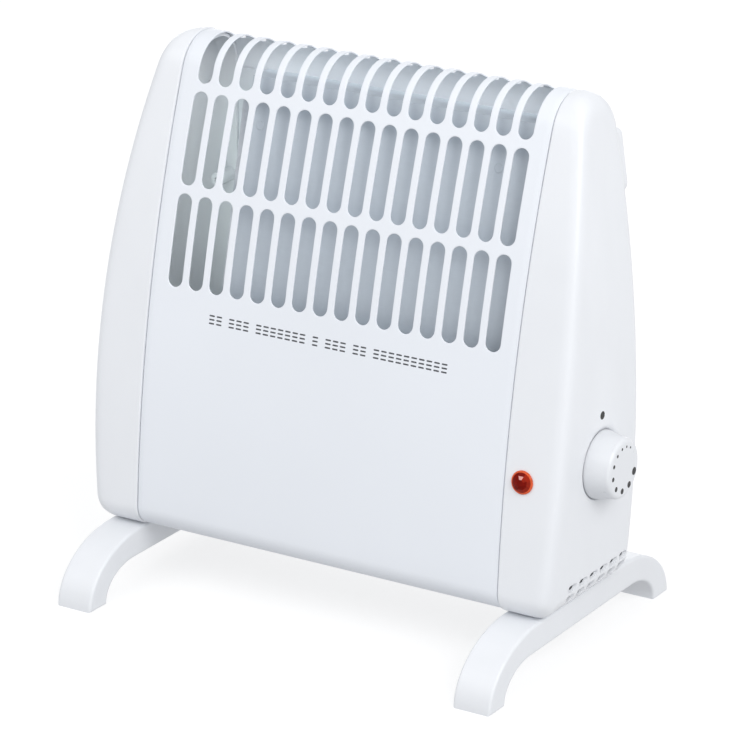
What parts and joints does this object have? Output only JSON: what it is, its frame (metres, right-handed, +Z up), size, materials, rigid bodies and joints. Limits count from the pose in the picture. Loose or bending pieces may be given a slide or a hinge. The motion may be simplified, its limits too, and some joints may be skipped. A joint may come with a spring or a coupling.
{
  "type": "convector heater",
  "caption": "Small white free-standing convector heater: slotted steel casing between rounded end caps on two arched feet, with a thermostat knob and a red indicator.",
  "frame": {"origin": "on the floor, under the middle of the whole object's bounding box", "axes": "+X to the heater's own right seen from the front, the side with the knob; the slotted front faces -Y; +Z up from the floor"},
  "size_m": [0.2822, 0.177, 0.274],
  "materials": {
    "front_panel_paint": "satin white powder coat, faint orange peel",
    "back_panel_paint": "satin white powder coat",
    "cap_white": "semi-gloss moulded white plastic, fine texture",
    "foot_white": "semi-gloss moulded white plastic",
    "knob_white": "semi-gloss moulded white plastic",
    "lens_red": "clear orange-red, faceted",
    "zinc_screw": "bright zinc plate",
    "spindle_steel": "turned steel",
    "brass": "plain brass",
    "galvanised": "galvanised sheet",
    "shield_steel": "galvanised sheet",
    "contact_bronze": "spring bronze",
    "bimetal": "rolled bimetal",
    "ceramic": "unglazed ceramic",
    "lamp_glass": "clear glass, orange glow",
    "resistor": "lacquered",
    "element_steel": "dull heat-stained steel",
    "fin_aluminium": "mill finish",
    "cutout_black": "phenolic moulding",
    "terminal_ivory": "matt moulding",
    "bush_white": "matt moulding",
    "wire_brown": "smooth insulation",
    "wire_blue": "smooth insulation",
    "wire_earth": "green and yellow insulation",
    "wire_dark": "smooth insulation"
  },
  "bodies": {
    "heater": {"front_panel": "front_panel_paint", "back_panel": "back_panel_paint", "base_grille": "galvanised", "left_end_cap": "cap_white", "right_end_cap": "cap_white", "left_foot": "foot_white", "right_foot": "foot_white", "left_wall_spacer": "foot_white", "right_wall_spacer": "foot_white", "foot_screws": "zinc_screw", "panel_screws": "zinc_screw", "cap_screws": "zinc_screw", "base_screws": "zinc_screw", "spacer_screws": "zinc_screw", "thermostat_bushing": "brass", "thermostat_nut": "zinc_screw", "thermostat_bracket": "galvanised", "thermostat_screws": "zinc_screw", "thermostat_stack": "ceramic", "bimetal_strip": "bimetal", "indicator_lens": "lens_red", "lens_clip": "zinc_screw", "neon_lamp": "lamp_glass", "lamp_resistor": "resistor", "element_tube": "element_steel", "element_fins": "fin_aluminium", "element_bushes": "ceramic", "element_terminals": "zinc_screw", "left_element_bracket": "galvanised", "right_element_bracket": "galvanised", "heat_shield": "shield_steel", "shield_rivets": "zinc_screw", "thermal_cutout": "cutout_black", "cutout_clip": "zinc_screw", "terminal_block": "terminal_ivory", "terminal_screws": "brass", "cable_inlet_bush": "bush_white", "earth_screw": "brass", "wire_live": "wire_brown", "wire_switched": "wire_brown", "wire_element": "wire_brown", "wire_neutral": "wire_blue", "wire_earth": "wire_earth", "wires_lamp": "wire_dark"},
    "knob": {"thermostat_knob": "knob_white", "thermostat_spindle": "spindle_steel"},
    "blade": {"contact_blade": "contact_bronze"}
  },
  "joints": [
    {"name": "knob_turn", "type": "hinge", "parent": "heater", "child": "knob", "pos_m": [0.1279, -0.0043, 0.1007], "axis": [1, 0, 0], "range_deg": [-247, 33]},
    {"name": "blade_follow", "type": "hinge", "parent": "heater", "child": "blade", "pos_m": [0.10125, -0.0043, 0.1184], "axis": [0, 1, 0], "range_deg": [-0.25, 1.6]}
  ],
  "couplings": [
    {"joint": "blade_follow", "follows": "knob_turn", "ratio": -0.006}
  ]
}
